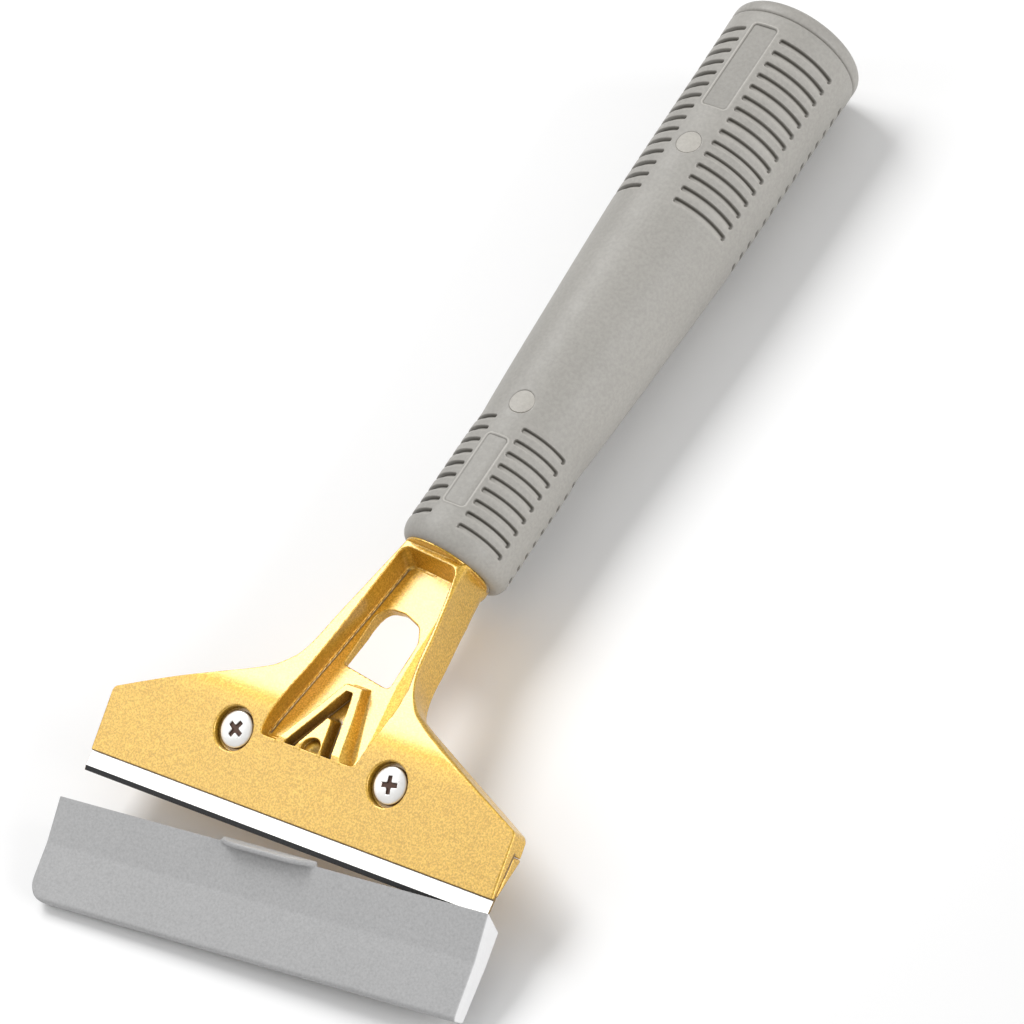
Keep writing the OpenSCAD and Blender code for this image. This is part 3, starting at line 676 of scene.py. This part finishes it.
# ---------------------------------------------------------------- clamp plate
CLAMP = Shape([(0.2, 0.6), (8.4, 0.6), (8.4, -4.9), (8.1, -5.2), (0.2, -1.62)], 0.1, 3.0)


def clamp_field(x, y, z):
    ax = np.abs(x)
    zb = y * math.sin(TILT) + (z + 0.75) * math.cos(TILT)
    bar = rmax(rmax(CLAMP(y, z), zb + 0.46, 0.1), ax - 50, 0.45)
    lug = np.sqrt((ax - SX) ** 2 + (y - SY) ** 2)
    ear = np.minimum(lug - 6.7, np.maximum(np.abs(ax - SX) - 6.7, np.abs(y - (SY + 7.6) / 2) - (SY - 7.6) / 2))
    ear = rmax(ear, np.abs(z + 4.1) - 1.1, 0.4)
    return cut(rmin(bar, ear, 0.5), lug - 2.05, 0.3)


v, q = skin(clamp_field, grade((-50.6, -48.8, 0.25), (-48.8, -26.5, 0.55), (-26.5, 26.5, 0.3), (26.5, 48.8, 0.55), (48.8, 50.6, 0.25)),
            grade((-0.4, 20.6, 0.26)), grade((-5.7, -0.3, 0.24)))
make("clamp_plate_skin", p_to_w(v), q, clamp_mat, "clamp", "clamp_plate")


# ---------------------------------------------------------------- screws
def screw_field(x, y, z):
    r = np.sqrt(x * x + y * y)
    dome = np.sqrt(r * r + (z + 0.5 + 16.0) ** 2) - 16.0
    head = rmax(rmax(r - 3.8, dome, 0.42), -(z + 1.78), 0.12)
    depth = np.maximum(-0.5 - z, 0)
    w, l = 0.52 - 0.16 * depth, 2.0 - 0.75 * depth
    arm1 = rmax(np.abs(x) - w, np.abs(y) - l, 0.12)
    arm2 = rmax(np.abs(y) - w, np.abs(x) - l, 0.12)
    cross = rmin(arm1, arm2, 0.28)
    cross = rmax(cross, -(z + 1.55), 0.15)
    head = cut(head, cross, 0.09)
    shank = rmax(rmax(r - 1.98, z + 1.0, 0.05), -(z + 6.1), 0.3)
    return rmin(head, shank, 0.1)


sg = grade((-4.1, 4.1, 0.095))
sv, sq = skin(screw_field, sg, sg, grade((-2.0, -0.3, 0.085)))
s_rad = np.hypot(sv[:, 0], sv[:, 1])
s_dome = np.sqrt(256 - np.minimum(s_rad, 4) ** 2) - 16.5
# painted shade in the cross recess and on the lower side of the head's rim
s_painted_shade = np.maximum(np.clip((s_dome - 0.1 - sv[:, 2]) / 0.12, 0, 1) * (s_rad < 3.0), np.clip((s_rad - 3.55) / 0.12, 0, 1) * np.clip((-0.98 - sv[:, 2]) / 0.2, 0, 1))
sh, shf = lathe([(0, -2.1), (1.98, -2.1), (1.98, -5.9), (1.7, -6.1), (0, -6.1)], 40)
# threads of the shank, seen only from behind
th = [(0.0, -1.6)]
k = 0
while -1.7 - 0.7 * k > -5.6:
    th += [(2.0, -1.7 - 0.7 * k), (2.0, -1.78 - 0.7 * k), (1.68, -2.02 - 0.7 * k), (1.68, -2.1 - 0.7 * k)]
    k += 1
th += [(1.9, -5.85), (1.6, -6.1), (0, -6.1)]
sh, shf = lathe([(r, -z) for r, z in th], 40)
sh = np.stack([sh[:, 0], sh[:, 2], -sh[:, 1]], 1)
s_painted_shade = np.concatenate([s_painted_shade, np.zeros(len(sh))])
for side, turn, body, node in ((-1, 62, "screw_left", "clamp_screw_left"), (1, 12, "screw_right", "clamp_screw_right")):
    vv, ff = joined((sv, sq), (sh, shf))
    a = math.radians(turn)
    vv = np.stack([vv[:, 0] * math.cos(a) - vv[:, 1] * math.sin(a) + side * SX, vv[:, 0] * math.sin(a) + vv[:, 1] * math.cos(a) + SY, vv[:, 2]], 1)
    make(node + "_skin", p_to_w(vv), ff, screw_mat, body, node, attr={"painted_shade": s_painted_shade})


# ---------------------------------------------------------------- blade guard
def guard_lines(front, depth, depth_low, top_f, top_b, low, radii):
    bend = front + (GCREASE - GLOW) * LEAN
    pts = [(top_f, front), (GCREASE, front), (low, bend), (low, bend - depth_low), (GCREASE, front - depth),
           (0, front - depth - 0.9), (top_b, front - depth - 0.9 - top_b * 0.14)]
    return Shape(rounded(pts, radii, 5), 0.12, 3.0)


G_OUT = guard_lines(GINZ + GWALL, GGAP + 2 * GWALL, GGAP_LOW + 2 * GWALL, GTOP, 0.02, GLOW, [0, 5, 1.0, 0.8, 5, 0, 0])
G_IN = guard_lines(GINZ, GGAP, GGAP_LOW, GTOP + 1, 4.0, GLOW, [0, 5, 0, 0, 5, 0, 0])


def face(l, low, r, r2):
    return Shape(rounded([(GDX - l / 2, low), (GDX + l / 2, low), (GDX + l / 2, GTOP + 2.5), (GDX - l / 2, GTOP + 2.5)], [r, r2, 0, 0], 12), 0.12, 3.0)


F_OUT, F_IN = face(GL, GLOW, GR, GR2), face(GL - 2 * GWALL, GLOW + GWALL, GR - GWALL, 0.3)
TAB_W = 24.5


def guard_field(x, y, z):
    out = rmax(G_OUT(y, z), F_OUT(x, y), 0.28)
    inner = rmax(G_IN(y, z), F_IN(x, y), 0.4)
    g = cut(out, inner, 0.2)
    # thumb tab
    a = math.radians(104)
    dy, dz = y - (GTOP + 0.75), z - (GINZ + GWALL - 0.35)
    vv, ww = dy * math.cos(a) + dz * math.sin(a), -dy * math.sin(a) + dz * math.cos(a)
    tab = np.hypot(np.maximum(np.abs(x + 0.8) - (TAB_W / 2 - 6.3), 0), vv + 3.2) - 6.3
    tab = rmax(rmax(tab, np.abs(ww - 0.55) - 0.55, 0.4), -vv - 0.2, 0.1)
    return rmin(g, tab, 0.6)


v, q = skin(guard_field, grade((-53.0, -45.5, 0.24), (-45.5, -15, 0.6), (-15, 13.5, 0.28), (13.5, 48.5, 0.6), (48.5, 51.9, 0.24)),
            grade((-18.9, 4.6, 0.24)), grade((-4.4, 4.9, 0.2)))
R_G = np.array([[GC, -GS, 0], [GS, GC, 0], [0, 0, 1]])
# the edge attribute marks the right end face for its painted light
make("blade_guard_skin", g_to_w(v), q, guard_mat, "guard", "blade_guard",
     attr={"edge": np.clip((v[:, 0] - GL / 2 - GDX + 0.3) / 0.2, 0, 1)}, normals=slope_of(guard_field, v) @ R_G.T @ R_P.T)

# ---------------------------------------------------------------- grip
GP = [(2, 11.8), (8, 11.75), (26, 11.72), (30, 11.52), (34, 11.75), (42, 12.2), (60, 13.03),
      (78, 13.83), (87, 14.15), (97, 14.32), (112, 14.42), (130, 14.6), (134, 14.7), (140, 14.72)]
SLOT_M = [3.25 + i * 3.03 for i in range(9)] + [86.3 + i * 3.03 for i in range(15)]
SLOT_AZ = [45, 135, 225, 315]


def smooth(t):
    t = np.clip(t, 0, 1)
    return t * t * (3 - 2 * t)


def grip_mesh():
    rows = []
    for a in range(0, 90, 6):
        rows.append((3.0 - 4.0 * math.cos(math.radians(a)), 9.2 + 2.6 * math.sin(math.radians(a))))
    ms = list(np.arange(3.0, 133.4, 1.3))
    for s in SLOT_M:
        for t in (s, s + (0.7 if s < 50 else 0.35)):
            ms += [t + o for o in (-0.84, -0.72, -0.63, -0.54, -0.42, 0, 0.42, 0.54, 0.63, 0.72, 0.84)]
    for c in (33.0, 99.3):
        ms += list(np.arange(c - 2.95, c + 3.0, 0.19))
    for a, b in ((109.0, 130.8), (7.0, 24.2)):
        for e in (a, b):
            ms += list(e + np.arange(-0.5, 1.0 if e == a else 0.51, 0.13)) if e == a else list(e + np.arange(-0.9, 0.5, 0.13))
    ms += [133.4, 133.55]
    ms = sorted(m for m in ms if 3.0 <= m <= 133.56)
    kept = [ms[0]]
    for m in ms[1:]:
        if m - kept[-1] > 0.055:
            kept.append(m)
    rows += [(m, None) for m in kept]
    cols = list(np.arange(-180, 180, 2.4))
    for az in SLOT_AZ:
        for e in (az - 28, az + 28):
            e = (e + 180) % 360 - 180
            cols += [e + o for o in (-2.2, -1.35, -0.75, -0.3, 0.15, 0.6, 1.2, 2.0)]
    cols += list(np.arange(-13.4, 13.5, 0.85))
    for c in (-11.6, 11.6, -12.2, 12.2):
        cols += [c]
    cols = sorted((c + 180) % 360 - 180 for c in cols)
    kept = [cols[0]]
    for c in cols[1:]:
        if c - kept[-1] > 0.28:
            kept.append(c)
    cols = np.array(kept)
    M = np.array([r[0] for r in rows])[:, None]
    base = spline(GP, np.clip(M, 2, 140))
    R = np.where(np.array([r[1] is None for r in rows])[:, None], base, np.array([r[1] or 0 for r in rows])[:, None])
    R = np.repeat(R, len(cols), 1)
    P = np.repeat(cols[None, :], len(M), 0)
    MM = np.repeat(M, len(cols), 1)
    painted_dark = np.zeros_like(R)
    dep = np.zeros_like(R)
    painted_lit = np.zeros_like(R)
    # slots: painted shade on the upper wall and at the ends, a painted highlight along the lower lip and on the open
    # floor
    for s0 in SLOT_M:
        for az in SLOT_AZ:
            s = s0 + (0 if az != 315 else 0.7 if s0 < 50 else 0.35)
            near = np.abs(M[:, 0] - s) < 1.5
            da = np.abs((P[near] - az + 180) % 360 - 180)
            rr = base[near]
            off = MM[near] - s
            ds = np.radians(da - 28.0) * rr + 0.5
            dm = np.abs(off) - 0.6 + 0.5
            sd = np.hypot(np.maximum(ds, 0), np.maximum(dm, 0)) + np.minimum(np.maximum(ds, dm), 0) - 0.5
            t = smooth(0.5 - sd / 0.2)
            dep[near] = np.maximum(dep[near], 0.78 * t) - 0.05 * np.exp(-((sd - 0.24) / 0.14) ** 2) * (off < 0)
            inside = smooth(0.62 - sd / 0.18)
            wall = smooth((off - 0.16) / 0.2)
            ends = smooth((ds - 0.12) / 0.25)
            painted_dark[near] = np.maximum(painted_dark[near], inside * np.clip(0.98 * wall + 0.7 * ends, 0, 0.98))
            painted_lit[near] = np.maximum(painted_lit[near], np.maximum(0.45 * np.exp(-((sd - 0.14) / 0.12) ** 2) * smooth(-off / 0.4),
                                                         0.3 * inside * (1 - wall) * (1 - ends)))
    # round marks, sunk a little, with a fine ring around them; painted shade on their upper rim and a painted highlight
    # on their lower rim
    for c in (33.0, 99.3):
        s = np.radians(P) * base
        sd = np.hypot(s, MM - c) - 2.6
        dep = np.maximum(dep, 0.36 * smooth(0.5 - sd / 0.3)) - 0.05 * np.exp(-((sd - 0.28) / 0.16) ** 2)
        up = smooth(0.5 + ((MM - c) * 0.85 - s * 0.5) / 3.0)
        painted_dark = np.maximum(painted_dark, (0.2 + 0.7 * up) * np.exp(-((sd + 0.08) / 0.15) ** 2))
        painted_lit = np.maximum(painted_lit, 0.55 * (1 - up) * np.exp(-((sd - 0.05) / 0.13) ** 2))
    # sunk label field and framed field, both bare, with raised rims; painted shade in the sunk fields, stronger along
    # their upper rims, and a painted highlight along the rims
    for a, b, w, sunk, rim in ((109.0, 130.8, 2.9, 0.34, 0.13), (7.0, 24.2, 2.45, 0.14, 0.11)):
        zf = float(spline(GP, np.array([(a + b) / 2]))[0]) - sunk
        s = np.radians(P) * base
        ds, dm = np.abs(s) - w + 0.8, np.abs(MM - (a + b) / 2) - (b - a) / 2 + 0.8
        sd = np.hypot(np.maximum(ds, 0), np.maximum(dm, 0)) + np.minimum(np.maximum(ds, dm), 0) - 0.8
        flat = base - zf / np.cos(np.radians(np.clip(P, -20, 20)))
        on = smooth(0.5 - sd / 0.28)
        dep = dep * (1 - on) + np.maximum(flat, 0.05) * on - rim * np.exp(-((sd - 0.26) / 0.17) ** 2)
        up = smooth(0.5 + ((MM - (a + b) / 2) - (b - a) / 2 + 1.0) / 1.5)
        up = np.maximum(up, smooth(0.5 + (-s - w + 0.6) / 0.8) * 0.6)
        painted_dark = painted_dark * (1 - on) + ((0.16 if a > 50 else 0.04) + (0.2 + 0.6 * up) * np.exp(-((sd + 0.12) / 0.14) ** 2)) * on
        painted_lit = np.maximum(painted_lit * (1 - on), 0.6 * np.exp(-((sd - 0.2) / 0.15) ** 2))
    R = R - dep
    # upper end, inner bore
    n = len(cols)
    for m, r in ((133.9, 14.62), (134.08, 14.47), (134.2, 14.2), (134.2, 9.2), (60.0, 9.2), (-1.0, 9.2)):
        R = np.concatenate([R, np.full((1, n), r)])
        MM = np.concatenate([MM, np.full((1, n), m)])
        # painted shade on the grip's top rim under the cap
        painted_dark = np.concatenate([painted_dark, np.full((1, n), 0.5 if r > 14 and m > 134 else 0.0)])
        painted_lit = np.concatenate([painted_lit, np.zeros((1, n))])
    ph = np.radians(cols)[None, :] + GRIP_TURN
    # the lower end is cut a little aslant
    aslant = (0.075 * R * np.sin(ph) + 0.12 * R * np.cos(ph) - 0.5) * np.clip((2.6 - MM) / 3.6, 0, 1)
    verts = np.stack([R * np.sin(ph), MM - aslant, R * np.cos(ph)], 2).reshape(-1, 3)
    rr = len(MM)
    i, j = np.meshgrid(np.arange(rr), np.arange(n), indexing="ij")
    i2, j2 = (i + 1) % rr, (j + 1) % n
    q = np.stack([i * n + j, i * n + j2, i2 * n + j2, i2 * n + j], 2).reshape(-1, 4)
    # the last row, at the bore's lower end, meets the first
    keep = ~((i.ravel() == rr - 1) & (np.abs(R[-1, 0] - 9.2) < 1e-6) & (np.abs(MM[0, 0] + 1) < 1e-6))
    weld = np.arange(rr * n)
    weld[(rr - 1) * n:] = np.arange(n)
    q = weld[q[keep]]
    return verts[:(rr - 1) * n], q, painted_dark.reshape(-1)[:(rr - 1) * n], painted_lit.reshape(-1)[:(rr - 1) * n]


v, q, painted_dark, painted_lit = grip_mesh()
make("handle_grip_skin", h_to_w(v), q, grip_mat, "tool", "handle_grip", attr={"painted_shade": painted_dark, "edge": painted_lit})

m0 = GRIP_L - 1
prof = [(0, m0 - 8), (6.2, m0 - 8), (6.55, m0 - 7.4), (6.55, m0), (14.1, m0), (14.35, m0 + 0.1), (14.58, m0 + 0.28), (14.68, m0 + 0.5), (END_R, m0 + 0.8)]
prof += [(END_R - 1.9 + 1.9 * math.cos(math.radians(a)), m0 + CAP_L - 1.9 + 1.9 * math.sin(math.radians(a))) for a in range(0, 91, 9)]
prof += [(12.0, m0 + CAP_L), (11.0, m0 + CAP_L - 0.02), (6, m0 + CAP_L - 0.04), (0, m0 + CAP_L - 0.05)]
v, q = lathe(prof, 160)
make("end_cap_skin", h_to_w(v), q, cap_mat, "tool", "end_cap")

for node, mat in (("blade", blade_mat), ("handle_core", core_mat), ("tang_pin", pin_mat)):
    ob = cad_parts[node]
    for s in ob.material_slots:
        s.material = mat

# ---------------------------------------------------------------- floor, light, camera
me = bpy.data.meshes.new("floor")
me.from_pydata([(-3, -3, -0.0001), (3, -3, -0.0001), (3, 3, -0.0001), (-3, 3, -0.0001)], [], [(0, 1, 2, 3)])
floor = bpy.data.objects.new("floor", me)
bpy.context.scene.collection.objects.link(floor)
fm, nt, b = new_mat("floor_mat", (0.86, 0.86, 0.865), 0.42)
nt.links.new(ramp(nt, noise(nt, coords(nt), 6, 2.0, 0.5), [(0.3, grey(0.85)), (0.7, grey(0.87))]), b.inputs["Base Color"])
me.materials.append(fm)

world = bpy.data.worlds.new("world")
world.use_nodes = True
world.node_tree.nodes["Background"].inputs["Color"].default_value = (1, 1, 1, 1)
world.node_tree.nodes["Background"].inputs["Strength"].default_value = 0.48
bpy.context.scene.world = world


def area(name, direction, dist, size, power, color=(1, 1, 1)):
    """A soft box seen from the origin along direction; size is (along Y, across)."""
    l = bpy.data.lights.new(name, "AREA")
    l.shape, l.size, l.size_y, l.energy, l.color = "RECTANGLE", size[0], size[1], power, color
    o = bpy.data.objects.new(name, l)
    bpy.context.scene.collection.objects.link(o)
    d = Vector(direction).normalized()
    along = (Vector((0, 1, 0)) - d * d.y).normalized()
    across = d.cross(along)
    m = Matrix.Identity(4)
    for k in range(3):
        m[k][0], m[k][1], m[k][2], m[k][3] = along[k], across[k], d[k], d[k] * dist
    o.matrix_world = m
    return o


area("key", (-0.56, 0.30, 0.78), 0.85, (0.5, 0.38), 4.1)
area("low_fill", (-0.62, -0.36, 0.70), 0.7, (0.3, 0.42), 0.62)
area("side", (0.93, 0.05, 0.36), 1.5, (1.2, 0.55), 13.0)

CR = np.array([[0.7912, 0.3345, -0.512], [0.2573, -0.9415, -0.2175], [-0.5548, 0.0404, -0.831]])
CT = np.array([-43.22, 59.18, 1030.26])
u, _, vt = np.linalg.svd(CR)
CR = u @ vt
centre = p_to_w((-CR.T @ CT)[None, :])[0] / 1000
right, down, ahead = (R_P @ CR[k] for k in range(3))
cam = bpy.data.cameras.new("camera")
cam.sensor_width, cam.sensor_fit, cam.lens = 36.0, "HORIZONTAL", 5379.5 / 1024 * 36.0
cam.clip_start, cam.clip_end = 0.05, 20
co = bpy.data.objects.new("camera", cam)
bpy.context.scene.collection.objects.link(co)
mw = Matrix.Identity(4)
for k in range(3):
    mw[k][0], mw[k][1], mw[k][2], mw[k][3] = right[k], -down[k], -ahead[k], centre[k]
co.matrix_world = mw
bpy.context.scene.camera = co
bpy.context.scene.view_settings.view_transform = "Standard"
bpy.context.scene.view_settings.look = "None"
